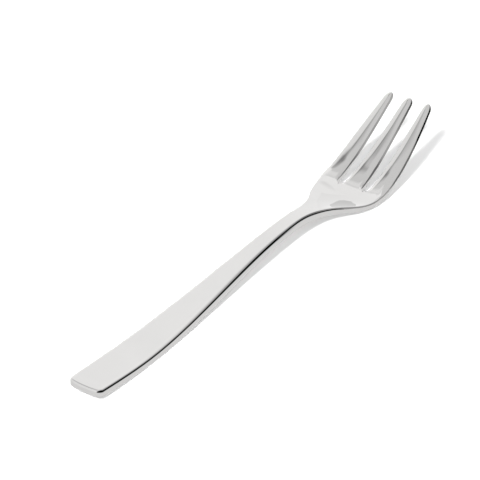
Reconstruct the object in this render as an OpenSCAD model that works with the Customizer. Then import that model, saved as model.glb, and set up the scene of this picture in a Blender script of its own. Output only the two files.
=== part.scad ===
// Fish fork with three tines, one piece of stainless steel, lying on a table.
// Millimetres. X runs from the handle end to the tine tips, Y across, Z up.
// The origin is on the table, midway along the length, on the fork's middle line.

/* [Overall] */
// Length from the handle end to the tine tips
overall_length = 180; // [150:1:216]

/* [Handle] */
// Width of the handle at its widest
handle_width = 13.1; // [9:0.1:16]
// Width of the handle at its end, before the corners are rounded
handle_end_width = 12.4; // [8:0.1:15]
// Distance from the handle end to the widest place
handle_widest_at = 18; // [12:1:24]
// Thickness of the handle
handle_thickness = 2.6; // [2:0.1:4]
// Radius of the end's corners, seen from above
end_corner = 1.8; // [1:0.1:3]
// How far the middle of the end stands out past its corners
end_bow = 0.7; // [0:0.1:1.5]
// Rounding of the handle's long edges and of its end
handle_edge = 0.9; // [0.4:0.05:0.95]

/* [Neck] */
// Distance from the tips back to the narrowest, highest place
neck_from_tips = 74; // [68:1:88]
// Width of the neck at its narrowest
neck_width = 6.2; // [4.5:0.1:9]
// Thickness of the neck
neck_thickness = 3.4; // [2.8:0.1:5]
// Rounding of the neck's edges
neck_edge = 1.3; // [0.8:0.05:1.35]

/* [Head] */
// Width of the head at its widest
head_width = 25; // [21:0.5:30]
// Distance from the tips back to the widest place
head_widest_at = 33; // [28:1:35]
// Distance from the tips back to the middle of the shoulders
shoulder_at = 50.5; // [46:0.5:56]
// Share of the widening that is done at the middle of the shoulders
shoulder_share = 0.47; // [0.4:0.005:0.6]
// Growth of the width at the middle of the shoulders, for each unit of length
shoulder_rate = 1.15; // [0.8:0.05:1.5]
// Thickness of the palm behind the tines
palm_thickness = 2.2; // [1.8:0.1:3]
// Rounding of the palm's edges
palm_edge = 0.7; // [0.4:0.05:0.85]
// How much lower the palm is in the middle than at its sides
dish_depth = 1; // [0:0.1:1.4]
// Distance from the tips to where the palm is deepest
dish_deepest_at = 49; // [45:0.5:54]
// How much lower the middle is than the sides where the tines start
root_dish = 0.5; // [0:0.1:1]

/* [Tines] */
// Length of the slots between the tines
tine_length = 35.8; // [30:0.1:42]
// Width across the three tips
tips_across = 18.1; // [15.5:0.1:21]
// Width of the middle tine just behind its round tip
tip_width = 3.6; // [2:0.05:4.4]
// Width of a slot at the tips
slot_tip_width = 4.2; // [3.2:0.05:4.8]
// Width of a slot where its sides turn straight
slot_width = 2.85; // [2.4:0.05:3.5]
// Distance from the slot roots to there
slot_straight_at = 12; // [8:0.5:16]
// Thickness of a tine where the tines have turned up
tine_thickness = 1.5; // [1.2:0.05:2.2]
// Thickness of a tine at its tip
tip_thickness = 1.2; // [1:0.1:2]
// Width of a slot at its round root
slot_root_width = 2.6; // [1.4:0.1:3]
// Distance between the two slots at their roots
slot_root_spacing = 9.7; // [8.5:0.1:11]
// Width of the sloping band beside a slot, at the slot's root
root_bevel_width = 1.2; // [0.8:0.05:1.6]
// Width of the sloping band along a tine's edge, beside a slot
bevel_width = 2; // [0.6:0.05:2.2]
// Depth of that band at the tine's side
bevel_depth = 0.45; // [0.2:0.05:0.9]
// Width of the sloping band along the head's outer edge, where it is widest
outer_bevel = 3.2; // [1:0.05:3.6]
// Depth of the outer band at the tine's side, where it is widest
outer_depth = 0.7; // [0.4:0.05:1.2]
// Depth of the outer band where it runs out beside the slot roots
runout_depth = 0.3; // [0.2:0.05:0.7]
// Distance from the slot roots to where the outer band starts to deepen
runout_at = 2.5; // [2:0.5:4.5]
// Distance from the slot roots to where the outer band is widest
outer_bevel_at = 6.5; // [5:0.5:15]
// How far a tine's sides lean out from the top to the underside
tine_lean = 0.36; // [0:0.02:0.6]

/* [Side view] */
// Distance from the handle end to where the handle rests on the table
rest_at = 27; // [20:1:40]
// Height of the underside at the handle end
tail_height = 1.35; // [0:0.05:4]
// Slope of the handle at its end
tail_slope = -0.05; // [-0.15:0.01:0]
// Height of the underside at the neck
neck_height = 5; // [3:0.1:10]
// Share of that height which is left midway between the neck and the belly
ramp_share = 0.645; // [0.5:0.005:0.75]
// Distance from the tips back to where the head rests on the table
belly_at = 42; // [37:0.5:46]
// Distance from the tips back to where the tines have turned up
rise_at = 28; // [22:0.5:32]
// Height of the underside there
rise_height = 4.2; // [2:0.1:6]
// Slope of the tines there
rise_slope = 0.46; // [0.3:0.01:0.6]
// Height of the underside at the tips
tip_height = 20.5; // [12:0.1:26]
// Slope of the tines at their tips
tip_slope = 0.62; // [0.3:0.01:0.8]

/* [Hidden] */

// Places along the length, measured from the handle end
neck_at = overall_length - neck_from_tips;
root_at = overall_length - tine_length;
belly_place = overall_length - belly_at;
rise_place = overall_length - rise_at;
shoulder_place = overall_length - shoulder_at;
widest_place = overall_length - head_widest_at;
ramp_place = (neck_at + belly_place) / 2;
bevel_place = root_at + outer_bevel_at;
runout_place = root_at + runout_at;

// Widths and slot sizes that follow from the sizes above
shoulder_width = neck_width + shoulder_share * (head_width - neck_width);
tips_narrowing = -1.75 * (head_width - tips_across) / head_widest_at;
root_radius = slot_root_width / 2;
slot_tip_spacing = tip_width + slot_tip_width;
tip_round = 0.65 * tip_width;

// Stations of the outline and of the side view: place, value, slope
width_stations = [
    [0, handle_end_width, 2 * (handle_width - handle_end_width) / handle_widest_at],
    [handle_widest_at, handle_width, 0],
    [neck_at, neck_width, 0],
    [shoulder_place, shoulder_width, shoulder_rate],
    [widest_place, head_width, 0],
    [overall_length, tips_across, tips_narrowing]
];
height_stations = [
    [0, tail_height, tail_slope],
    [rest_at, 0, 0],
    [neck_at, neck_height, 0],
    [ramp_place, ramp_share * neck_height, -1.5 * neck_height / (belly_place - neck_at)],
    [belly_place, 0, 0],
    [rise_place, rise_height, rise_slope],
    [overall_length, tip_height, tip_slope]
];
thickness_stations = [
    [0, handle_thickness, 0],
    [rest_at, handle_thickness, 0],
    [neck_at, neck_thickness, 0],
    [belly_place, palm_thickness, 0],
    [rise_place, tine_thickness, -0.015],
    [overall_length, tip_thickness, -0.01]
];
edge_stations = [
    [0, handle_edge, 0],
    [rest_at, handle_edge, 0],
    [neck_at, neck_edge, 0],
    [belly_place, palm_edge, 0],
    [bevel_place, outer_bevel, 0],
    [overall_length, bevel_width, 0]
];
depth_stations = [
    [0, handle_edge, 0],
    [rest_at, handle_edge, 0],
    [neck_at, neck_edge, 0],
    [belly_place, palm_edge, 0],
    [runout_place, runout_depth, 0],
    [bevel_place, outer_depth, 0],
    [overall_length, bevel_depth, 0]
];
slot_stations = [
    [root_at + root_radius, slot_root_width, 0.02],
    [root_at + slot_straight_at, slot_width, 0.04],
    [overall_length, slot_tip_width, 0.04]
];
dish_stations = [
    [overall_length - dish_deepest_at - 16, 0, 0],
    [overall_length - dish_deepest_at, dish_depth, 0],
    [root_at - 2, root_dish, -0.03],
    [overall_length, 0, 0]
];

// Smooth curves through stations
function ease(t) = t * t * (3 - 2 * t);
function clamp(t) = max(0, min(1, t));
function mix(a, b, t) = a + (b - a) * t;
function last_before(list, x) =
    max([for (i = [0 : len(list) - 2]) if (i == 0 || x >= list[i][0]) i]);
function along(list, x) =
    let (i = last_before(list, x))
    let (a = list[i], b = list[i + 1])
    let (h = b[0] - a[0])
    let (t = clamp((x - a[0]) / h))
    mix(a[1], b[1], ease(t)) + a[2] * h * t * (1 - t) * (1 - t) - b[2] * h * t * t * (1 - t);

// A quarter round: 0 where it starts, 1 where it has run its length
function quarter(u) = sqrt(1 - pow(1 - clamp(u), 2));

// Half the width, the thickness and the middle layer's height and slope at a place
function half_width(x) = along(width_stations, x) / 2 - end_corner * (1 - quarter(x / end_corner));
function half_thick(x) = along(thickness_stations, x) / 2 - handle_edge * (1 - quarter(x / handle_edge));
function mid_height(x) = along(height_stations, x) + along(thickness_stations, x) / 2;
function slope_angle(x) = atan((mid_height(x + 0.05) - mid_height(x - 0.05)) / 0.1);
function edge_depth(x) = min(along(depth_stations, x), (x < root_at ? 0.75 : 1.1) * half_thick(x));
function dish(x) = x < dish_stations[0][0] ? 0 : along(dish_stations, x);

// The slots: middle line, half width, and how far their edges are rounded
function slot_middle(x) = mix(slot_root_spacing, slot_tip_spacing, (x - root_at) / tine_length) / 2;
function slot_half(x) =
    let (u = x - root_at)
    u < root_radius ? root_radius * quarter(u / root_radius) : along(slot_stations, x) / 2;
function band_growth(x, share) = ease(clamp((x - root_at) / (share * tine_length)));

// How much of its size a tine keeps in the round tip, and how far its sides lean there
function tip_share(x) = quarter((overall_length - x) / tip_round);
function side_lean(x) = tine_lean * tip_share(x) * ease(clamp((x - root_at) / (0.4 * tine_length)));

// An edge's section, from the side inwards: share of its width, share of its depth.
// The handle, neck and palm have a quarter round, the tines a sloping band.
ROUND_EDGE = [for (a = [0 : 30 : 90]) [1 - cos(a), 1 - sin(a)]];
BEVEL_EDGE = [[0, 1], [0.1, 0.8], [0.74, 0.12], [1, 0]];
STEPS = len(ROUND_EDGE);
LANE = 2 * STEPS;
BODY = 3 * LANE;
function edge_section(x) =
    let (t = ease(clamp((x - root_at) / (runout_place - root_at))))
    [for (i = [0 : STEPS - 1]) mix(ROUND_EDGE[i], BEVEL_EDGE[i], t)];

// Across one lane from y0 to y1: place and drop below the flat, for edges of given width and depth
function lane_across(x, y0, y1, r0, r1, d0, d1) =
    let (e = edge_section(x))
    concat(
        [for (p = e) [y0 + r0 * p[0], d0 * p[1]]],
        [[(y0 + r0 + y1 - r1) / 2, 0]],
        [for (i = [STEPS - 1 : -1 : 0]) [y1 - r1 * e[i][0], d1 * e[i][1]]]
    );

// The three lanes of the handle, neck and palm, side by side as one row
function body_row(x) =
    let (w = half_width(x), b = w * slot_root_spacing / 2 / half_width(root_at))
    let (r = min(along(edge_stations, x), 0.45 * (w - b)), d = edge_depth(x))
    let (q = min(root_bevel_width, 0.3 * b))
    let (right = lane_across(x, -w, -b, r, q, d, 0))
    let (middle = lane_across(x, -b, b, q, q, 0, 0))
    let (left = lane_across(x, b, w, q, r, 0, d))
    concat(right, [for (i = [1 : LANE]) middle[i]], [for (i = [1 : LANE]) left[i]]);

// One tine as a row, 0 right, 1 middle, 2 left, with its sides drawn in on the top
function tine_edges(x, m) =
    let (c = slot_middle(x), s = slot_half(x), w = half_width(x))
    m == 0 ? [-w, -c - s] : m == 1 ? [-c + s, c - s] : [c + s, w];
function tine_row(x, m, drawn_in) =
    let (e = tine_edges(x, m), k = tip_share(x), wide = band_growth(x, 0.3), deep = band_growth(x, 0.1))
    let (c = (e[0] + e[1]) / 2, h = (e[1] - e[0]) / 2 * k - drawn_in)
    let (r_out = min(along(edge_stations, x), 1.16 * h))
    let (r_in = min(mix(root_bevel_width, bevel_width, wide), (m == 1 ? 0.95 : 0.82) * h))
    let (d_out = min(edge_depth(x), 0.42 * r_out) * k, d_in = min(bevel_depth, 0.42 * r_in) * k * deep)
    lane_across(x, c - h, c + h, m == 0 ? r_out : r_in, m == 2 ? r_out : r_in,
        m == 0 ? d_out : d_in, m == 2 ? d_out : d_in);

// A row's points on the top (side 1) or on the underside (side -1) of the fork.
// The underside's edges drop half as far on the body, and less on the tines.
function under_share(x) = mix(0.5, 0.2, ease(clamp((x - belly_place) / (bevel_place - belly_place))));
function place(x, y, n) =
    let (f = slope_angle(x), fade = pow(clamp(1 - x / handle_widest_at), 2))
    let (bow = end_bow * fade * pow(2 * y / handle_end_width, 2))
    [x + bow - n * sin(f) - overall_length / 2, y, mid_height(x) + n * cos(f)];
function face_row(x, row, half, side) =
    let (share = side > 0 ? 1 : under_share(x))
    [for (p = row) place(x, p[0], dish(x) * pow(p[0] / half_width(x), 2) + side * (half - share * p[1]))];
function both_faces(x, top, under, half) =
    concat(face_row(x, top, half, 1), face_row(x, under, half, -1));

// Places of the cross-sections along the body and along the tines
HANDLE_STEPS = 26;
HEAD_STEPS = 24;
TINE_STEPS = 15;
body_places = concat(
    [for (a = [0 : 15 : 90]) end_corner * (1 - cos(a))],
    [for (i = [1 : HANDLE_STEPS]) mix(end_corner, neck_at, i / HANDLE_STEPS)],
    [for (i = [1 : HEAD_STEPS]) mix(neck_at, root_at, i / HEAD_STEPS)]
);
tine_places = concat(
    [for (a = [15 : 15 : 90]) root_at + root_radius * (1 - cos(a))],
    [for (i = [1 : TINE_STEPS])
        mix(root_at + root_radius, overall_length - tip_round, i / TINE_STEPS)],
    [for (a = [15 : 15 : 75]) overall_length - tip_round * (1 - sin(a))]
);
nb = len(body_places) - 1;
nt = len(tine_places);

points = concat(
    [for (x = body_places) each both_faces(x, body_row(x), body_row(x), half_thick(x))],
    [for (m = [0 : 2]) for (x = tine_places)
        each both_faces(x, tine_row(x, m, side_lean(x)), tine_row(x, m, 0), half_thick(x) * tip_share(x))]
);

// Numbers of the points: side 0 is the top, 1 the underside; a tine's step 0 is the palm's last row
function body_at(i, side, j) = (2 * i + side) * (BODY + 1) + j;
tine_start = 2 * (nb + 1) * (BODY + 1);
function tine_at(m, i, side, j) =
    i == 0
        ? body_at(nb, side, m * LANE + j)
        : tine_start + (2 * (m * nt + i - 1) + side) * (LANE + 1) + j;

// Four corners as two triangles
function quad(a, b, c, d) = [[a, b, c], [a, c, d]];

body_faces = [
    for (i = [0 : nb - 1]) each [
        for (j = [0 : BODY - 1]) each concat(
            quad(body_at(i, 0, j), body_at(i, 0, j + 1), body_at(i + 1, 0, j + 1), body_at(i + 1, 0, j)),
            quad(body_at(i, 1, j), body_at(i + 1, 1, j), body_at(i + 1, 1, j + 1), body_at(i, 1, j + 1))
        ),
        each quad(body_at(i, 1, 0), body_at(i, 0, 0), body_at(i + 1, 0, 0), body_at(i + 1, 1, 0)),
        each quad(body_at(i, 0, BODY), body_at(i, 1, BODY),
            body_at(i + 1, 1, BODY), body_at(i + 1, 0, BODY))
    ],
    for (j = [0 : BODY - 1])
        each quad(body_at(0, 0, j + 1), body_at(0, 0, j), body_at(0, 1, j), body_at(0, 1, j + 1))
];
function tine_faces(m) = [
    for (i = [0 : nt - 1]) each [
        for (j = [0 : LANE - 1]) each concat(
            quad(tine_at(m, i, 0, j), tine_at(m, i, 0, j + 1),
                tine_at(m, i + 1, 0, j + 1), tine_at(m, i + 1, 0, j)),
            quad(tine_at(m, i, 1, j), tine_at(m, i + 1, 1, j),
                tine_at(m, i + 1, 1, j + 1), tine_at(m, i, 1, j + 1))
        ),
        each quad(tine_at(m, i, 1, 0), tine_at(m, i, 0, 0),
            tine_at(m, i + 1, 0, 0), tine_at(m, i + 1, 1, 0)),
        each quad(tine_at(m, i, 0, LANE), tine_at(m, i, 1, LANE),
            tine_at(m, i + 1, 1, LANE), tine_at(m, i + 1, 0, LANE))
    ],
    for (j = [0 : LANE - 1])
        each quad(tine_at(m, nt, 0, j), tine_at(m, nt, 0, j + 1),
            tine_at(m, nt, 1, j + 1), tine_at(m, nt, 1, j))
];

// The fork: handle, neck and palm as one skin that parts into the three tines
module fork() {
    color("gainsboro")
        polyhedron(
            points = points,
            faces = concat(body_faces, [for (m = [0 : 2]) each tine_faces(m)]),
            convexity = 10
        );
}

fork();
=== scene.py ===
import math

import bpy
from mathutils import Euler, Matrix, Vector


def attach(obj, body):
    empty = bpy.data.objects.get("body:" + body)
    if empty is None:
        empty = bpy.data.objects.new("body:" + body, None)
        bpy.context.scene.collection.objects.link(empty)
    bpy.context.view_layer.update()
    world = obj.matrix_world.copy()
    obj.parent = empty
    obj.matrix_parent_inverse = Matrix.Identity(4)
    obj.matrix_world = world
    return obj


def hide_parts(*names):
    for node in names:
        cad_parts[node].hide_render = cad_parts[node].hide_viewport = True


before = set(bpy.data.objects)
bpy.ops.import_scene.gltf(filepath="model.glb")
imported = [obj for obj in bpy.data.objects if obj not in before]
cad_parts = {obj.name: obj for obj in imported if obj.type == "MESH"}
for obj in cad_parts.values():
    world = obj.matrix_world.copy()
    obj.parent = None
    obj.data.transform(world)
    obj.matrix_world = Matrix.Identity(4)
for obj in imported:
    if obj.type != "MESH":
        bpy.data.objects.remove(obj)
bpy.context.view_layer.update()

MM = 0.001

# Sizes of the fork in millimetres, the same as in its CAD source
OVERALL_LENGTH = 180.0
HANDLE_WIDTH = 13.1
HANDLE_END_WIDTH = 12.4
HANDLE_WIDEST_AT = 18.0
HANDLE_THICKNESS = 2.6
END_CORNER = 1.8
END_BOW = 0.7
HANDLE_EDGE = 0.9
NECK_FROM_TIPS = 74.0
NECK_WIDTH = 6.2
NECK_THICKNESS = 3.4
NECK_EDGE = 1.3
HEAD_WIDTH = 25.0
HEAD_WIDEST_AT = 33.0
SHOULDER_AT = 50.5
SHOULDER_SHARE = 0.47
SHOULDER_RATE = 1.15
PALM_THICKNESS = 2.2
PALM_EDGE = 0.7
DISH_DEPTH = 1.0
DISH_DEEPEST_AT = 49.0
ROOT_DISH = 0.5
TINE_LENGTH = 35.8
TIPS_ACROSS = 18.1
TIP_WIDTH = 3.6
SLOT_TIP_WIDTH = 4.2
SLOT_WIDTH = 2.85
SLOT_STRAIGHT_AT = 12.0
TINE_THICKNESS = 1.5
TIP_THICKNESS = 1.2
SLOT_ROOT_WIDTH = 2.6
SLOT_ROOT_SPACING = 9.7
BEVEL_WIDTH = 2.0
BEVEL_DEPTH = 0.45
OUTER_BEVEL = 3.2
OUTER_DEPTH = 0.7
RUNOUT_DEPTH = 0.3
RUNOUT_AT = 2.5
OUTER_BEVEL_AT = 6.5
TINE_LEAN = 0.36
REST_AT = 27.0
TAIL_HEIGHT = 1.35
TAIL_SLOPE = -0.05
NECK_HEIGHT = 5.0
RAMP_SHARE = 0.645
BELLY_AT = 42.0
RISE_AT = 28.0
RISE_HEIGHT = 4.2
RISE_SLOPE = 0.46
TIP_HEIGHT = 20.5
TIP_SLOPE = 0.62
DISH_RUN = 16.0
ROOT_DISH_BACK = 2.0

# Slopes and shares that shape the sections
TIPS_CURVE = 1.75
TIP_ROUND_SHARE = 0.65
RAMP_STEEPNESS = 1.5
TINE_TAPER = -0.015
TIP_TAPER = -0.01
SLOT_ROOT_SPREAD = 0.02
SLOT_SPREAD = 0.04
ROOT_DISH_SLOPE = -0.03
BODY_EDGE_DEEPEST = 0.75
TINE_EDGE_DEEPEST = 1.1
BODY_EDGE_WIDEST = 0.45
SLOT_EDGE_WIDEST = 0.3
OUTER_BAND_WIDEST = 1.16
MIDDLE_BAND_WIDEST = 0.95
INNER_BAND_WIDEST = 0.82
BAND_STEEPEST = 0.42
BAND_WIDENS_OVER = 0.3
BAND_DEEPENS_OVER = 0.1
LEAN_GROWS_OVER = 0.4
BODY_UNDER_ROUND = 0.5
TINE_UNDER_ROUND = 0.2

# Places along the fork, measured from the handle end
NECK_PLACE = OVERALL_LENGTH - NECK_FROM_TIPS
ROOT_PLACE = OVERALL_LENGTH - TINE_LENGTH
BELLY_PLACE = OVERALL_LENGTH - BELLY_AT
RISE_PLACE = OVERALL_LENGTH - RISE_AT
SHOULDER_PLACE = OVERALL_LENGTH - SHOULDER_AT
WIDEST_PLACE = OVERALL_LENGTH - HEAD_WIDEST_AT
RAMP_PLACE = (NECK_PLACE + BELLY_PLACE) / 2
BEVEL_PLACE = ROOT_PLACE + OUTER_BEVEL_AT
RUNOUT_PLACE = ROOT_PLACE + RUNOUT_AT

# Widths and slot sizes that follow from the sizes above
SHOULDER_WIDTH = NECK_WIDTH + SHOULDER_SHARE * (HEAD_WIDTH - NECK_WIDTH)
TIPS_NARROWING = -TIPS_CURVE * (HEAD_WIDTH - TIPS_ACROSS) / HEAD_WIDEST_AT
ROOT_RADIUS = SLOT_ROOT_WIDTH / 2
SLOT_TIP_SPACING = TIP_WIDTH + SLOT_TIP_WIDTH
TIP_ROUND = TIP_ROUND_SHARE * TIP_WIDTH

# Stations along the fork: place, value, slope
WIDTH_STATIONS = [
    (0, HANDLE_END_WIDTH, 2 * (HANDLE_WIDTH - HANDLE_END_WIDTH) / HANDLE_WIDEST_AT),
    (HANDLE_WIDEST_AT, HANDLE_WIDTH, 0),
    (NECK_PLACE, NECK_WIDTH, 0),
    (SHOULDER_PLACE, SHOULDER_WIDTH, SHOULDER_RATE),
    (WIDEST_PLACE, HEAD_WIDTH, 0),
    (OVERALL_LENGTH, TIPS_ACROSS, TIPS_NARROWING),
]
HEIGHT_STATIONS = [
    (0, TAIL_HEIGHT, TAIL_SLOPE),
    (REST_AT, 0, 0),
    (NECK_PLACE, NECK_HEIGHT, 0),
    (RAMP_PLACE, RAMP_SHARE * NECK_HEIGHT, -RAMP_STEEPNESS * NECK_HEIGHT / (BELLY_PLACE - NECK_PLACE)),
    (BELLY_PLACE, 0, 0),
    (RISE_PLACE, RISE_HEIGHT, RISE_SLOPE),
    (OVERALL_LENGTH, TIP_HEIGHT, TIP_SLOPE),
]
THICKNESS_STATIONS = [
    (0, HANDLE_THICKNESS, 0),
    (REST_AT, HANDLE_THICKNESS, 0),
    (NECK_PLACE, NECK_THICKNESS, 0),
    (BELLY_PLACE, PALM_THICKNESS, 0),
    (RISE_PLACE, TINE_THICKNESS, TINE_TAPER),
    (OVERALL_LENGTH, TIP_THICKNESS, TIP_TAPER),
]
EDGE_WIDTH_STATIONS = [
    (0, HANDLE_EDGE, 0),
    (REST_AT, HANDLE_EDGE, 0),
    (NECK_PLACE, NECK_EDGE, 0),
    (BELLY_PLACE, PALM_EDGE, 0),
    (BEVEL_PLACE, OUTER_BEVEL, 0),
    (OVERALL_LENGTH, BEVEL_WIDTH, 0),
]
EDGE_DEPTH_STATIONS = [
    (0, HANDLE_EDGE, 0),
    (REST_AT, HANDLE_EDGE, 0),
    (NECK_PLACE, NECK_EDGE, 0),
    (BELLY_PLACE, PALM_EDGE, 0),
    (RUNOUT_PLACE, RUNOUT_DEPTH, 0),
    (BEVEL_PLACE, OUTER_DEPTH, 0),
    (OVERALL_LENGTH, BEVEL_DEPTH, 0),
]
SLOT_STATIONS = [
    (ROOT_PLACE + ROOT_RADIUS, SLOT_ROOT_WIDTH, SLOT_ROOT_SPREAD),
    (ROOT_PLACE + SLOT_STRAIGHT_AT, SLOT_WIDTH, SLOT_SPREAD),
    (OVERALL_LENGTH, SLOT_TIP_WIDTH, SLOT_SPREAD),
]
DISH_STATIONS = [
    (OVERALL_LENGTH - DISH_DEEPEST_AT - DISH_RUN, 0, 0),
    (OVERALL_LENGTH - DISH_DEEPEST_AT, DISH_DEPTH, 0),
    (ROOT_PLACE - ROOT_DISH_BACK, ROOT_DISH, ROOT_DISH_SLOPE),
    (OVERALL_LENGTH, 0, 0),
]

# An edge's section from the side inwards: share of its width, share of its depth
ROUND_EDGE = [(1 - math.cos(math.radians(a)), 1 - math.sin(math.radians(a))) for a in (0, 30, 60, 90)]
BEVEL_EDGE = [(0, 1), (0.1, 0.8), (0.74, 0.12), (1, 0)]
SLOT_EDGE = 1.2
LANE = 2 * len(ROUND_EDGE)

# Counts of cross-sections
HANDLE_STEPS = 26
HEAD_STEPS = 24
TINE_STEPS = 15
ARC_STEP = 15
SIDE_LINE_STEPS = 720
SMOOTHING_ROUNDS = 2
CRISP = 0.35
CRISP_FROM = 9.0

# The end bow follows the square of the place across, which at the corners is a quarter
BOW_GAIN = 4.0

# Marks on the steel, in millimetres
HAIRLINE_SPACING = 0.2
HAIRLINE_LENGTH = 30.0
HAIRLINE_DEPTH = 0.002
WIPE_MARK = 14.0
BUFF_WAVE = 9.0
BUFF_DEPTH = 0.02
RUBBED_HEIGHT = 0.6
RUBBED_TIP = 12.0

# How strongly the marks show, and the roughness that each gives
HAIRLINE_STRENGTH = 0.05
BUFF_STRENGTH = 0.25
WIPE_SPREAD = (0.3, 0.7)
WIPED_ROUGHNESS = (0.035, 0.06)
HAIRLINE_SPREAD = (0.35, 0.75)
HAIRLINE_ROUGHNESS = 0.03
RUBBED_ROUGHNESS = 0.1
TIP_ROUGHNESS = 0.02


def ease(t):
    return t * t * (3 - 2 * t)


def clamp(t):
    return max(0.0, min(1.0, t))


def mix(a, b, t):
    return a + (b - a) * t


def along(stations, x):
    """The smooth curve through the stations, at a place along the fork."""
    i = max([0] + [k for k in range(len(stations) - 1) if x >= stations[k][0]])
    (xa, va, sa), (xb, vb, sb) = stations[i], stations[i + 1]
    h = xb - xa
    t = clamp((x - xa) / h)
    return mix(va, vb, ease(t)) + sa * h * t * (1 - t) ** 2 - sb * h * t * t * (1 - t)


def quarter(u):
    """A quarter round: 0 where it starts, 1 where it has run its length."""
    return math.sqrt(1 - (1 - clamp(u)) ** 2)


def half_width(x):
    return along(WIDTH_STATIONS, x) / 2 - END_CORNER * (1 - quarter(x / END_CORNER))


def half_thick(x):
    return along(THICKNESS_STATIONS, x) / 2 - HANDLE_EDGE * (1 - quarter(x / HANDLE_EDGE))


def middle_height(x):
    return along(HEIGHT_STATIONS, x) + along(THICKNESS_STATIONS, x) / 2


def edge_depth(x):
    deepest = BODY_EDGE_DEEPEST if x < ROOT_PLACE else TINE_EDGE_DEEPEST
    return min(along(EDGE_DEPTH_STATIONS, x), deepest * half_thick(x))


def dish(x):
    return 0.0 if x < DISH_STATIONS[0][0] else along(DISH_STATIONS, x)


def slot_middle(x):
    return mix(SLOT_ROOT_SPACING, SLOT_TIP_SPACING, (x - ROOT_PLACE) / TINE_LENGTH) / 2


def slot_half(x):
    u = x - ROOT_PLACE
    if u < ROOT_RADIUS:
        return ROOT_RADIUS * quarter(u / ROOT_RADIUS)
    return along(SLOT_STATIONS, x) / 2


def edge_section(x):
    t = ease(clamp((x - ROOT_PLACE) / (RUNOUT_PLACE - ROOT_PLACE)))
    return [(mix(a[0], b[0], t), mix(a[1], b[1], t)) for a, b in zip(ROUND_EDGE, BEVEL_EDGE)]


def lane_across(x, y0, y1, r0, r1, d0, d1):
    """Across one lane: place and drop below the flat, for edges of given width and depth."""
    section = edge_section(x)
    first = [(y0 + r0 * s, d0 * d) for s, d in section]
    last = [(y1 - r1 * s, d1 * d) for s, d in reversed(section)]
    return first + [((y0 + r0 + y1 - r1) / 2, 0.0)] + last


def body_row(x):
    """The three lanes of the handle, neck and palm, side by side as one row."""
    w = half_width(x)
    b = w * SLOT_ROOT_SPACING / 2 / half_width(ROOT_PLACE)
    r = min(along(EDGE_WIDTH_STATIONS, x), BODY_EDGE_WIDEST * (w - b))
    q = min(SLOT_EDGE, SLOT_EDGE_WIDEST * b)
    d = edge_depth(x)
    right = lane_across(x, -w, -b, r, q, d, 0)
    middle = lane_across(x, -b, b, q, q, 0, 0)
    left = lane_across(x, b, w, q, r, 0, d)
    return right + middle[1:] + left[1:]


def band_growth(x, share):
    """From 0 at the slot roots to 1 where a share of the tines' length has run."""
    return ease(clamp((x - ROOT_PLACE) / (share * TINE_LENGTH)))


def tip_share(x):
    return quarter((OVERALL_LENGTH - x) / TIP_ROUND)


def side_lean(x):
    return TINE_LEAN * tip_share(x) * band_growth(x, LEAN_GROWS_OVER)


def tine_row(x, tine, drawn_in):
    """One tine as a row, 0 right, 1 middle, 2 left, with its sides drawn in on the top."""
    c, s, w = slot_middle(x), slot_half(x), half_width(x)
    y0, y1 = ((-w, -c - s), (-c + s, c - s), (c + s, w))[tine]
    k = tip_share(x)
    mid, h = (y0 + y1) / 2, (y1 - y0) / 2 * k - drawn_in
    wide, deep = band_growth(x, BAND_WIDENS_OVER), band_growth(x, BAND_DEEPENS_OVER)
    r_out = min(along(EDGE_WIDTH_STATIONS, x), OUTER_BAND_WIDEST * h)
    widest = MIDDLE_BAND_WIDEST if tine == 1 else INNER_BAND_WIDEST
    r_in = min(mix(SLOT_EDGE, BEVEL_WIDTH, wide), widest * h)
    d_out = min(edge_depth(x), BAND_STEEPEST * r_out) * k
    d_in = min(BEVEL_DEPTH, BAND_STEEPEST * r_in) * k * deep
    return lane_across(x, mid - h, mid + h, r_out if tine == 0 else r_in, r_out if tine == 2 else r_in,
                       d_out if tine == 0 else d_in, d_out if tine == 2 else d_in)


def both_faces(x, top_row, under_row, half):
    """A row's points on the top and on the underside of the flat blank."""
    w = half_width(x)
    t = ease(clamp((x - BELLY_PLACE) / (BEVEL_PLACE - BELLY_PLACE)))
    under_share = mix(BODY_UNDER_ROUND, TINE_UNDER_ROUND, t)
    top = [(x, y, dish(x) * (y / w) ** 2 + half - drop) for y, drop in top_row]
    under = [(x, y, dish(x) * (y / w) ** 2 - half + under_share * drop) for y, drop in under_row]
    return top, under


def arc(start, stop):
    return [math.radians(a) for a in range(start, stop + 1, ARC_STEP)]


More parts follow.
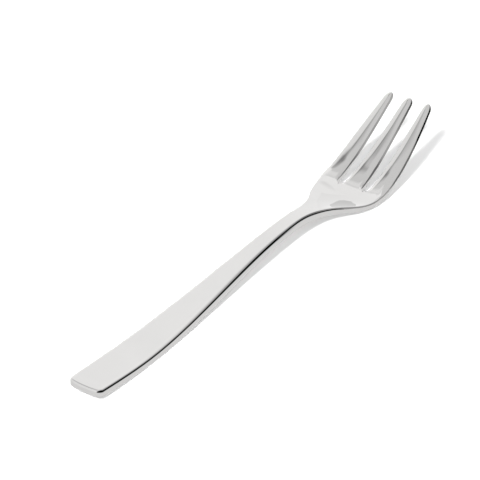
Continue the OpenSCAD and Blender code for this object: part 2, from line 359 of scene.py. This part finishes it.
def fork_blank():
    """The flat blank: points (along, across, above the middle layer), faces and the tines' crisp edges."""
    body_places = (
        [END_CORNER * (1 - math.cos(a)) for a in arc(0, 90)]
        + [mix(END_CORNER, NECK_PLACE, i / HANDLE_STEPS) for i in range(1, HANDLE_STEPS + 1)]
        + [mix(NECK_PLACE, ROOT_PLACE, i / HEAD_STEPS) for i in range(1, HEAD_STEPS + 1)]
    )
    tine_places = (
        [ROOT_PLACE + ROOT_RADIUS * (1 - math.cos(a)) for a in arc(ARC_STEP, 90)]
        + [mix(ROOT_PLACE + ROOT_RADIUS, OVERALL_LENGTH - TIP_ROUND, i / TINE_STEPS)
           for i in range(1, TINE_STEPS + 1)]
        + [OVERALL_LENGTH - TIP_ROUND * (1 - math.sin(a)) for a in arc(ARC_STEP, 90 - ARC_STEP)]
    )
    points, faces, crisp = [], [], set()

    def keep(row):
        start = len(points)
        points.extend(row)
        return list(range(start, start + len(row)))

    def skin(rows):
        for (top_a, under_a), (top_b, under_b) in zip(rows, rows[1:]):
            for j in range(len(top_a) - 1):
                faces.append((top_a[j], top_a[j + 1], top_b[j + 1], top_b[j])[::-1])
                faces.append((under_a[j], under_b[j], under_b[j + 1], under_a[j + 1])[::-1])
            faces.append((under_a[0], top_a[0], top_b[0], under_b[0])[::-1])
            faces.append((top_a[-1], under_a[-1], under_b[-1], top_b[-1])[::-1])

    def cap(top, under, flip):
        for j in range(len(top) - 1):
            face = (top[j + 1], top[j], under[j], under[j + 1])
            faces.append(face if flip else face[::-1])

    body = []
    for x in body_places:
        row = body_row(x)
        body.append([keep(side) for side in both_faces(x, row, row, half_thick(x))])
    skin(body)
    cap(*body[0], flip=False)
    for tine in range(3):
        lane = slice(tine * LANE, (tine + 1) * LANE + 1)
        rows = [[side[lane] for side in body[-1]]]
        for x in tine_places:
            sides = both_faces(x, tine_row(x, tine, side_lean(x)), tine_row(x, tine, 0),
                               half_thick(x) * tip_share(x))
            rows.append([keep(side) for side in sides])
        skin(rows)
        cap(*rows[-1], flip=True)
        for x, row, following in zip(tine_places, rows[1:], rows[2:]):
            for a, b in zip(row, following) if x > ROOT_PLACE + CRISP_FROM else ():
                crisp.update({frozenset((a[0], b[0])), frozenset((a[-1], b[-1]))})
    return points, faces, crisp


def add(tree, kind, inputs=(), **settings):
    """Adds a node with its settings; an input given an output is linked, any other is set."""
    node = tree.nodes.new(kind)
    for name, value in settings.items():
        setattr(node, name, value)
    for socket, value in dict(inputs).items():
        if isinstance(value, bpy.types.NodeSocket):
            tree.links.new(value, node.inputs[socket])
        else:
            node.inputs[socket].default_value = value
    return node


def linear(hex_code):
    """An sRGB hex colour as linear light."""
    parts = [int(hex_code[i:i + 2], 16) / 255 for i in (0, 2, 4)]
    return tuple(c / 12.92 if c <= 0.04045 else ((c + 0.055) / 1.055) ** 2.4 for c in parts) + (1.0,)


def press_tree():
    """The press: bends the flat blank along the side line and rounds it off."""
    tree = bpy.data.node_groups.new("fork_press", "GeometryNodeTree")
    face = tree.interface
    sockets = {}
    for name, kind in (("Blank", "NodeSocketGeometry"), ("Side line", "NodeSocketObject"),
                       ("End bow", "NodeSocketFloat"), ("End width", "NodeSocketFloat"),
                       ("Bow reach", "NodeSocketFloat"), ("Smoothing rounds", "NodeSocketInt"),
                       ("Steel", "NodeSocketMaterial")):
        sockets[name] = face.new_socket(name, in_out="INPUT", socket_type=kind).identifier
    face.new_socket("Fork", in_out="OUTPUT", socket_type="NodeSocketGeometry")

    given = add(tree, "NodeGroupInput").outputs
    flat = add(tree, "GeometryNodeInputPosition").outputs[0]
    parts = add(tree, "ShaderNodeSeparateXYZ", {0: flat}).outputs
    marked = add(tree, "GeometryNodeStoreNamedAttribute",
                 {"Geometry": given["Blank"], "Name": "blank_place", "Value": flat},
                 data_type="FLOAT_VECTOR", domain="POINT").outputs[0]

    way = add(tree, "GeometryNodeInputNamedAttribute", {"Name": "way"}, data_type="FLOAT").outputs[0]
    line = add(tree, "GeometryNodeObjectInfo", {"Object": given["Side line"]}).outputs["Geometry"]
    bend = add(tree, "GeometryNodeSampleCurve", {"Curves": line, "Length": way}, mode="LENGTH").outputs
    above = add(tree, "ShaderNodeVectorMath", {0: bend["Tangent"], 1: (0, 1, 0)},
                operation="CROSS_PRODUCT").outputs[0]
    raised = add(tree, "ShaderNodeVectorMath", {0: above, "Scale": parts["Z"]},
                 operation="SCALE").outputs[0]

    # The handle end stands out in the middle
    near = add(tree, "ShaderNodeMath", {0: parts["X"], 1: given["Bow reach"]},
               operation="DIVIDE").outputs[0]
    fade = add(tree, "ShaderNodeMath", {0: 1.0, 1: near}, operation="SUBTRACT", use_clamp=True).outputs[0]
    side = add(tree, "ShaderNodeMath", {0: parts["Y"], 1: given["End width"]},
               operation="DIVIDE").outputs[0]
    bowed = add(tree, "ShaderNodeMath", {0: fade, 1: side}, operation="MULTIPLY").outputs[0]
    square = add(tree, "ShaderNodeMath", {0: bowed, 1: bowed}, operation="MULTIPLY").outputs[0]
    depth = add(tree, "ShaderNodeMath", {0: given["End bow"], 1: BOW_GAIN},
                operation="MULTIPLY").outputs[0]
    bow = add(tree, "ShaderNodeMath", {0: square, 1: depth}, operation="MULTIPLY").outputs[0]

    across = add(tree, "ShaderNodeCombineXYZ", {"X": bow, "Y": parts["Y"]}).outputs[0]
    lifted = add(tree, "ShaderNodeVectorMath", {0: bend["Position"], 1: raised}, operation="ADD").outputs[0]
    placed = add(tree, "ShaderNodeVectorMath", {0: lifted, 1: across}, operation="ADD").outputs[0]
    pressed = add(tree, "GeometryNodeSetPosition", {"Geometry": marked, "Position": placed}).outputs[0]
    crisp = add(tree, "GeometryNodeInputNamedAttribute", {"Name": "crisp"}, data_type="FLOAT").outputs[0]
    rounded = add(tree, "GeometryNodeSubdivisionSurface",
                  {"Mesh": pressed, "Level": given["Smoothing rounds"], "Edge Crease": crisp}).outputs[0]
    smooth = add(tree, "GeometryNodeSetShadeSmooth", {"Geometry": rounded}).outputs[0]
    whole = add(tree, "GeometryNodeRealizeInstances", {"Geometry": smooth}).outputs[0]
    steel = add(tree, "GeometryNodeSetMaterial", {"Geometry": whole, "Material": given["Steel"]}).outputs[0]
    add(tree, "NodeGroupOutput", {0: steel})
    return tree, sockets


def link(name, data):
    thing = bpy.data.objects.new(name, data)
    bpy.context.scene.collection.objects.link(thing)
    return thing


def side_line():
    """The middle layer seen from the side, as a curve, with the way run at each of its points."""
    places = [OVERALL_LENGTH * i / SIDE_LINE_STEPS for i in range(SIDE_LINE_STEPS + 1)]
    line = [Vector((x - OVERALL_LENGTH / 2, 0, middle_height(x))) * MM for x in places]
    ways = [0.0]
    for a, b in zip(line, line[1:]):
        ways.append(ways[-1] + (b - a).length)
    curve = bpy.data.curves.new("side_line", "CURVE")
    curve.dimensions = "3D"
    spline = curve.splines.new("POLY")
    spline.points.add(len(line) - 1)
    for point, place in zip(spline.points, line):
        point.co = (*place, 1.0)
    return link("side_line", curve), ways


def way_at(ways, x):
    t = x / OVERALL_LENGTH * SIDE_LINE_STEPS
    i = min(int(t), SIDE_LINE_STEPS - 1)
    return mix(ways[i], ways[i + 1], t - i)


def pressed_fork(steel):
    points, faces, crisp = fork_blank()
    line, ways = side_line()
    mesh = bpy.data.meshes.new("fork_blank")
    mesh.from_pydata([Vector(p) * MM for p in points], [], faces)
    way = mesh.attributes.new("way", "FLOAT", "POINT")
    way.data.foreach_set("value", [way_at(ways, p[0]) for p in points])
    edge_set = mesh.attributes.new("crisp", "FLOAT", "EDGE")
    edge_set.data.foreach_set(
        "value", [CRISP if frozenset(e.vertices) in crisp else 0.0 for e in mesh.edges])
    blank = link("fork_blank", mesh)
    tree, sockets = press_tree()
    press = blank.modifiers.new("press", "NODES")
    press.node_group = tree
    for name, value in (("Side line", line), ("End bow", END_BOW * MM),
                        ("End width", HANDLE_END_WIDTH * MM), ("Bow reach", HANDLE_WIDEST_AT * MM),
                        ("Smoothing rounds", SMOOTHING_ROUNDS), ("Steel", steel)):
        press[sockets[name]] = value
    bpy.context.view_layer.update()
    seen = bpy.context.evaluated_depsgraph_get()
    finished = bpy.data.meshes.new_from_object(blank.evaluated_get(seen))
    finished.name = "fish_fork"
    bpy.data.objects.remove(blank)
    bpy.data.objects.remove(line)
    return link("fish_fork", finished)


def polished_steel():
    """Stainless steel, ground along its length and buffed to a mirror. The eye gets a clear, slightly
    warm grey reflection, faint hairlines along the fork, soft marks from wiping, and a duller skin
    where it rubs on the table and at the tips."""
    steel = bpy.data.materials.new("mirror_polished_stainless_steel")
    steel.use_nodes = True
    tree = steel.node_tree
    tree.nodes.clear()
    blank = add(tree, "ShaderNodeAttribute", attribute_name="blank_place").outputs["Vector"]
    place = add(tree, "ShaderNodeTexCoord").outputs["Object"]

    # Hairlines from grinding: really about 0.02 mm apart, drawn ten times as coarse to show
    lined = add(tree, "ShaderNodeMapping", {"Vector": blank, "Scale": (
        1 / (HAIRLINE_LENGTH * MM), 1 / (HAIRLINE_SPACING * MM), 1 / (HAIRLINE_SPACING * MM))}).outputs[0]
    hairlines = add(tree, "ShaderNodeTexNoise", {"Vector": lined, "Scale": 1.0, "Detail": 3.0}).outputs[0]
    # Soft marks from wiping
    wiping = add(tree, "ShaderNodeTexNoise", {
        "Vector": blank, "Scale": 1 / (WIPE_MARK * MM), "Detail": 2.0, "Distortion": 0.6}).outputs[0]
    # Slow waves left by the buffing wheel
    waves = add(tree, "ShaderNodeTexNoise", {
        "Vector": blank, "Scale": 1 / (BUFF_WAVE * MM), "Detail": 0.0}).outputs[0]
    # Rubbed places: where it rests on the table, and the tips
    height = add(tree, "ShaderNodeSeparateXYZ", {0: place}).outputs["Z"]
    rubbed = add(tree, "ShaderNodeMapRange", {
        "Value": height, "From Min": RUBBED_HEIGHT * MM, "From Max": 0.0,
        "To Min": 0.0, "To Max": RUBBED_ROUGHNESS}).outputs[0]
    length = add(tree, "ShaderNodeSeparateXYZ", {0: blank}).outputs["X"]
    tips = add(tree, "ShaderNodeMapRange", {
        "Value": length, "From Min": (OVERALL_LENGTH - RUBBED_TIP) * MM, "From Max": OVERALL_LENGTH * MM,
        "To Min": 0.0, "To Max": TIP_ROUGHNESS}).outputs[0]

    colour = add(tree, "ShaderNodeMix", {
        "Factor": wiping, "A": linear("d3d2d1"), "B": linear("d8d7d6")}, data_type="RGBA")
    marks = add(tree, "ShaderNodeMapRange", {
        "Value": wiping, "From Min": WIPE_SPREAD[0], "From Max": WIPE_SPREAD[1],
        "To Min": WIPED_ROUGHNESS[0], "To Max": WIPED_ROUGHNESS[1]}).outputs[0]
    lines = add(tree, "ShaderNodeMapRange", {
        "Value": hairlines, "From Min": HAIRLINE_SPREAD[0], "From Max": HAIRLINE_SPREAD[1],
        "To Min": 0.0, "To Max": HAIRLINE_ROUGHNESS}).outputs[0]
    dull = add(tree, "ShaderNodeMath", {0: marks, 1: lines}, operation="ADD").outputs[0]
    worn = add(tree, "ShaderNodeMath", {0: rubbed, 1: tips}, operation="ADD").outputs[0]
    roughness = add(tree, "ShaderNodeMath", {0: dull, 1: worn}, operation="ADD").outputs[0]

    rippled = add(tree, "ShaderNodeBump", {
        "Height": waves, "Strength": BUFF_STRENGTH, "Distance": BUFF_DEPTH * MM}).outputs[0]
    lined_skin = add(tree, "ShaderNodeBump", {
        "Height": hairlines, "Strength": HAIRLINE_STRENGTH, "Distance": HAIRLINE_DEPTH * MM,
        "Normal": rippled}).outputs[0]
    shader = add(tree, "ShaderNodeBsdfPrincipled", {
        "Base Color": colour.outputs["Result"], "Metallic": 1.0, "Roughness": roughness,
        "Normal": lined_skin})
    add(tree, "ShaderNodeOutputMaterial", {"Surface": shader.outputs[0]})
    return steel


def white_laminate():
    """The table: a matt white laminate, blown out by the light."""
    paint = bpy.data.materials.new("white_laminate")
    paint.use_nodes = True
    tree = paint.node_tree
    tree.nodes.clear()
    shader = add(tree, "ShaderNodeBsdfPrincipled", {"Base Color": linear("f2f2f2"), "Roughness": 0.9})
    add(tree, "ShaderNodeOutputMaterial", {"Surface": shader.outputs[0]})
    return paint


def lit_card(name, one_sided=False):
    """Card and panel in the studio: each point is as bright as its glow says."""
    paint = bpy.data.materials.new(name)
    paint.use_nodes = True
    tree = paint.node_tree
    tree.nodes.clear()
    glow = add(tree, "ShaderNodeAttribute", attribute_name="glow").outputs["Fac"]
    shader = add(tree, "ShaderNodeEmission", {"Strength": glow})
    if one_sided:
        back = add(tree, "ShaderNodeNewGeometry").outputs["Backfacing"]
        clear = add(tree, "ShaderNodeBsdfTransparent")
        shader = add(tree, "ShaderNodeMixShader", {0: back, 1: shader.outputs[0], 2: clear.outputs[0]})
    add(tree, "ShaderNodeOutputMaterial", {"Surface": shader.outputs[0]})
    return paint


def toward(turn, rise):
    """The direction at a turn about the upright and a rise above the table, in degrees."""
    a, e = math.radians(turn), math.radians(rise)
    return Vector((math.cos(a) * math.cos(e), math.sin(a) * math.cos(e), math.sin(e)))


def at(x, y, z):
    """A place in the fork's frame, given in millimetres."""
    return Vector((x, y, z)) * MM


def studio_mesh(name, points, faces, glows, paint):
    """A card or panel that shows only in the steel's reflections."""
    mesh = bpy.data.meshes.new(name)
    mesh.from_pydata(points, [], faces)
    mesh.attributes.new("glow", "FLOAT", "POINT").data.foreach_set("value", glows)
    mesh.materials.append(paint)
    card = link(name, mesh)
    card.visible_camera = card.visible_diffuse = card.visible_shadow = False


def grid_card(name, columns, paint):
    """A card skinned over columns of places, each place with its glow."""
    high = len(columns[0])
    points = [place for column in columns for place, glow in column]
    glows = [glow for column in columns for place, glow in column]
    faces = [(a, a + high, a + high + 1, a + 1)
             for start in range(0, len(points) - high, high) for a in range(start, start + high - 1)]
    studio_mesh(name, points, faces, glows, paint)


def curved_card(name, reach, columns, paint):
    """A card round the fork: each column is a turn and its rises, each with its glow."""
    grid_card(name, [[(toward(turn, rise) * reach, glow) for rise, glow in levels]
                     for turn, levels in columns], paint)


def lamp(name, turn, rise, size, power):
    """A round soft lamp aimed at the fork, kept out of its reflections."""
    data = bpy.data.lights.new(name, "AREA")
    data.shape = "DISK"
    data.size = size
    data.energy = power
    thing = link(name, data)
    thing.location = toward(turn, rise) * LAMP_REACH
    thing.rotation_euler = (-toward(turn, rise)).to_track_quat("-Z", "Y").to_euler()
    thing.visible_glossy = False


# The fork
fork = pressed_fork(polished_steel())
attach(fork, "root")
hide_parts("fork")

# The camera, at the photograph's viewing angle
VIEW_TURN = 35.474
VIEW_DROP = 31.778
VIEW_ROLL = 0.09
CAMERA_PLACE = (-533.715, -372.975, 412.515)
SENSOR_WIDTH = 36.0
LENS_LENGTH = 180.0
NEAREST_SEEN = 0.01
FARTHEST_SEEN = 50.0
camera_data = bpy.data.cameras.new("camera")
camera_data.sensor_width = SENSOR_WIDTH
camera_data.lens = LENS_LENGTH
camera_data.clip_start = NEAREST_SEEN
camera_data.clip_end = FARTHEST_SEEN
camera = link("camera", camera_data)
camera.location = at(*CAMERA_PLACE)
aim = Euler((math.radians(90 - VIEW_DROP), 0, math.radians(VIEW_TURN - 90))).to_matrix()
camera.rotation_euler = (aim @ Matrix.Rotation(math.radians(VIEW_ROLL), 3, "Z")).to_euler()
bpy.context.scene.camera = camera

# The table
FLOOR_HALF = 12.0
floor_mesh = bpy.data.meshes.new("floor")
floor_mesh.from_pydata([(-FLOOR_HALF, -FLOOR_HALF, 0), (FLOOR_HALF, -FLOOR_HALF, 0),
                        (FLOOR_HALF, FLOOR_HALF, 0), (-FLOOR_HALF, FLOOR_HALF, 0)], [], [(0, 1, 2, 3)])
floor_mesh.materials.append(white_laminate())
floor = link("floor", floor_mesh)

# The studio that the steel mirrors, with how far off its large cards stand, in metres
TENT_REACH = 9.0
RIGHT_REACH = 8.0
CARD_REACH = 7.0
RIM_REACH = 5.5
PANEL_HEIGHT = 5.0
GAP_REACH = 4.5
LAMP_REACH = 2.5
CARD_GLOW = 1.05
PANEL_GLOW = 0.84
WORLD_LIGHT = 0.68
card_paint = lit_card("lit_card")
one_sided_paint = lit_card("one_sided_card", one_sided=True)

# The large cards: each column gives a turn, then rises with their glows
TENT_STEP = 15
TENT_LEVELS = [
    (-1, 0.85), (7, 0.85), (10, 0.85), (15, 0.3), (30, 0.3), (45, 0.35), (60, 0.4), (75, 0.42),
    (89.9, 0.42)]
curved_card("grey_tent", TENT_REACH, [
    (turn, TENT_LEVELS) for turn in range(-180, 181, TENT_STEP)], card_paint)
curved_card("white_backdrop", CARD_REACH, [
    (8, [(-1, 1.08), (12, 1.13), (25, 1.18), (36, 1.2), (50, 1.12), (58.5, 1.1)]),
    (31, [(-1, 1.09), (12, 1.12), (25, 1.15), (36, 1.17), (46, 0.98), (63, 0.97)]),
    (34, [(-1, 1.09), (12, 1.12), (25, 1.14), (36, 1.16), (46, 1.0), (63, 0.97)]),
    (37, [(-1, 1.09), (12, 1.12), (25, 1.13), (36, 1.13), (50, 1.16), (63, 0.97)]),
    (41, [(-1, 1.09), (12, 1.15), (25, 1.18), (36, 1.12), (50, 1.17), (63, 1.15)]),
    (54, [(-1, 1.05), (12, 1.1), (25, 1.22), (36, 1.26), (50, 1.15), (63, 1.15)]),
], card_paint)
curved_card("left_card", CARD_REACH, [
    (54, [(-1, 1.1), (25, 1.22), (36, 1.26), (45, 1.15)]),
    (58, [(-1, 1.1), (25, 1.22), (36, 1.2), (45, 1.1)]),
    (64, [(-1, 1.1), (25, 1.15), (36, 1.05), (46, 1.05)]),
    (80, [(-1, 1.0), (25, 1.03), (36, 1.04), (52, 1.03)]),
    (95, [(-1, 1.0), (25, 1.02), (36, 1.02), (60, 1.02)]),
    (125, [(-1, 1.03), (25, 1.04), (36, 1.04), (76, 1.0)]),
    (155, [(-1, 1.1), (25, 1.08), (36, 1.05), (60, 1.0)]),
    (185, [(-1, 1.08), (25, 1.08), (36, 1.08), (60, 1.0)]),
    (215, [(-1, 1.08), (25, 1.08), (36, 1.08), (60, 1.0)]),
], card_paint)
RIGHT_RISES = (-2, 10, 28, 45, 60, 80)
RIGHT_GLOWS = (
    (-105, (0.85, 0.85, 0.6, 0.55, 0.55, 0.5)),
    (-80, (0.85, 0.8, 0.55, 0.5, 0.43, 0.46)),
    (-66, (0.55, 0.4, 0.35, 0.34, 0.36, 0.46)),
    (-50, (0.4, 0.3, 0.35, 0.45, 0.45, 0.46)),
    (-36, (0.35, 0.25, 0.5, 0.6, 0.55, 0.52)),
    (-20, (0.3, 0.2, 0.2, 0.45, 0.6, 0.7)),
    (-8, (0.3, 0.2, 0.2, 0.54, 0.75, 0.85)),
    (8, (0.5, 0.4, 0.4, 0.8, 0.8, 0.76)),
)
curved_card("right_card", RIGHT_REACH, [
    (turn, list(zip(RIGHT_RISES, glows))) for turn, glows in RIGHT_GLOWS], card_paint)

# The rim where the backdrop meets the panel: a thin grey line, then a pale one
RIM_GLOWS = ((46, 1.16), (47.5, 0.97), (50, 0.97), (51.5, 1.06), (55, 1.05), (57, 0.86))
RIM_RISES = (43, 48, 64)
RIM_FOOT_GLOW = 1.2
RIM_FADE = 0.95
curved_card("backdrop_rim", RIM_REACH, [
    (turn, list(zip(RIM_RISES, (RIM_FOOT_GLOW, glow, RIM_FADE * glow))))
    for turn, glow in RIM_GLOWS], card_paint)

# The dark gap between the left card and the panel: turn, then the rises of its foot, of its dark line,
# of the start and end of its grey shelf and of its top, then the glows of line and shelf
GAP_COLUMNS = (
    (57, 39.0, 42.0, 43.0, 44.0, 48.0, 0.8, 0.85),
    (60, 39.0, 41.5, 42.5, 44.0, 49.0, 0.5, 0.6),
    (66, 39.5, 42.5, 44.0, 48.0, 58.0, 0.38, 0.5),
    (70, 39.5, 43.3, 45.5, 50.0, 63.0, 0.24, 0.4),
    (73.5, 39.8, 44.0, 47.0, 56.0, 67.0, 0.25, 0.3),
    (76, 41.0, 47.0, 50.0, 60.0, 69.0, 0.32, 0.38),
    (78, 43.0, 48.5, 52.0, 57.0, 67.0, 0.4, 0.5),
    (80, 45.0, 51.0, 54.0, 58.0, 67.0, 0.45, 0.58),
    (83, 47.0, 53.5, 57.0, 60.0, 68.0, 0.33, 0.6),
    (86, 49.0, 56.0, 59.0, 62.0, 70.0, 0.27, 0.58),
    (90, 50.0, 57.0, 60.5, 66.0, 77.0, 0.25, 0.56),
    (96, 51.0, 58.5, 63.0, 69.0, 79.0, 0.27, 0.55),
    (101, 57.0, 61.5, 65.0, 71.0, 82.0, 0.3, 0.56),
    (107, 58.0, 62.5, 67.0, 73.0, 83.0, 0.3, 0.56),
    (113, 61.0, 67.0, 71.0, 76.0, 84.0, 0.32, 0.57),
    (126, 68.0, 73.0, 76.0, 79.0, 85.0, 0.4, 0.6),
    (150, 76.0, 78.0, 80.0, 81.0, 86.0, 0.65, 0.72),
)
SHELF_GAIN = 1.1
curved_card("dark_gap", GAP_REACH, [
    (turn, [(foot, CARD_GLOW), (line, deep), (shelf, grey), (end, SHELF_GAIN * grey), (top, PANEL_GLOW)])
    for turn, foot, line, shelf, end, top, deep, grey in GAP_COLUMNS], card_paint)

# A panel overhead, its edge given for one metre of height
PANEL_EDGE = [
    (0.521, 0.773), (0.47, 0.624), (0.402, 0.479), (0.426, 0.441), (0.536, 0.45), (0.606, 0.35),
    (0.542, 0.197), (0.418, 0.074), (0.157, -0.157), (0.04, -0.284), (-0.4, -0.72), (-0.9, -1.2),
    (-1.5, -0.6), (-1.2, 0.1), (-0.8, 0.3), (-0.25, 0.38), (-0.15, 0.56), (-0.03, 0.66), (0.1, 0.75),
    (0.3, 0.85)]
studio_mesh("overhead_panel", [Vector((x, y, 1)) * PANEL_HEIGHT for x, y in PANEL_EDGE],
            [tuple(range(len(PANEL_EDGE)))], [PANEL_GLOW] * len(PANEL_EDGE), card_paint)

# A black flag, low and close along the right side, for the dark line down the edge: place, top and glow
FLAG_BESIDE = -42.0
FLAG_HEM = 7.0
HEM_GLOW = 0.35
FLAG_TOPS = (
    (-500.0, 90.0, 0.0), (-78.0, 90.0, 0.0), (-62.0, 46.0, 0.0), (0.0, 42.0, 0.0), (74.0, 40.0, 0.0),
    (82.0, 40.0, 0.2), (91.0, 42.0, 0.22), (96.0, 54.0, 0.0), (116.0, 54.0, 0.0))
grid_card("black_flag", [
    [(at(x, FLAG_BESIDE, 0.0), tone), (at(x, FLAG_BESIDE, top), tone),
     (at(x, FLAG_BESIDE, top + FLAG_HEM), HEM_GLOW)] for x, top, tone in FLAG_TOPS], card_paint)

# A pale card on the table for the fork's sides to mirror, black along the foot of the flag:
# place, how far the pale part reaches, and where the black begins
SIDE_CARD_RISE = 0.05
SIDE_CARD_LEFT = 150.0
SIDE_GLOW = 0.93
SIDE_CARD = (
    (-500.0, -13.0, -21.0), (30.0, -13.0, -21.0), (45.0, -41.0, -41.5), (200.0, -41.0, -41.5))
grid_card("side_card", [
    [(at(x, y, SIDE_CARD_RISE), glow) for y, glow in (
        (SIDE_CARD_LEFT, SIDE_GLOW), (pale_to, SIDE_GLOW), (black_from, 0.0), (FLAG_BESIDE, 0.0))]
    for x, pale_to, black_from in SIDE_CARD], card_paint)

# A small grey card hung close beside the palm, where the dark line fades to grey: place, side and foot
PALM_CARD = ((39.3, -12.0, 3.4), (47.0, -13.0, 2.6), (60.0, -14.2, 2.4))
PALM_CARD_LEVELS = ((0.0, 0.45), (4.0, 0.4), (14.0, 0.36))
grid_card("palm_card", [
    [(at(x, y, foot + z), glow) for z, glow in PALM_CARD_LEVELS] for x, y, foot in PALM_CARD], card_paint)

# Narrow cards hung in the slots and by the right tine's tip, seen only by the tine walls to their left:
# side, top above the tine's middle, and glows from the tips back
TINE_MIDDLES = (
    (94, 23.0), (86, 18.7), (82, 16.2), (78, 13.8), (74, 11.3), (70, 9.1), (66, 7.2), (62, 5.6), (56, 4.0))
TINE_CARD_FOOT = -1.6
TINE_CARDS = (
    ("left_slot_card", 3.9, 3.4, (0.55, 0.55, 0.56, 0.46, 0.55, 0.48, 0.17, 0.1, 0.08)),
    ("right_slot_card", -3.9, 3.4, (0.05, 0.15, 0.28, 0.5, 0.53, 0.48, 0.18, 0.17, 0.14)),
    ("tip_card", -12.0, 5.0, (0.0, 0.0, 0.0, 0.0)),
)
for name, beside, top, glows in TINE_CARDS:
    grid_card(name, [[(at(x, beside, middle + z), glow) for z in (TINE_CARD_FOOT, top)]
                     for (x, middle), glow in zip(TINE_MIDDLES, glows)], one_sided_paint)

# Cards standing over the palm, seen only from the handle's side, grey for the ellipse and white behind it:
# place, side, top and glow
PALM_SCREEN_FOOT = 1.5
GREY_GLOW = 0.82
PALM_SCREENS = (
    ("grey_screen", (
        (39.0, -1.45, 4.3, GREY_GLOW), (41.2, -1.3, 4.1, GREY_GLOW), (42.8, -1.0, 3.9, GREY_GLOW),
        (45.0, -1.1, 3.7, GREY_GLOW), (46.2, -2.4, 3.6, GREY_GLOW), (46.5, -3.3, 3.6, GREY_GLOW),
        (46.9, -4.7, 3.6, GREY_GLOW), (46.0, -6.1, 3.6, GREY_GLOW), (45.6, -7.4, 3.5, GREY_GLOW))),
    ("white_screen", ((45.3, 6.2, 9.0, 1.06), (49.9, -1.5, 9.0, 1.13), (54.5, -9.3, 9.0, 1.16))),
)
for name, places in PALM_SCREENS:
    grid_card(name, [[(at(x, y, z), glow) for z in (PALM_SCREEN_FOOT, top)]
                     for x, y, top, glow in places], one_sided_paint)

# The key lamp throws the fork's shadow; the fill stands by the camera, so that its own shadow stays hidden
lamp("key_lamp", turn=-165, rise=45, size=0.3, power=53.0)
lamp("fill_lamp", turn=-145, rise=33, size=0.4, power=20.5)

world = bpy.data.worlds.new("studio")
world.use_nodes = True
background = world.node_tree.nodes["Background"].inputs
background["Color"].default_value = (1, 1, 1, 1)
background["Strength"].default_value = WORLD_LIGHT
bpy.context.scene.world = world
bpy.context.scene.view_settings.view_transform = "Standard"
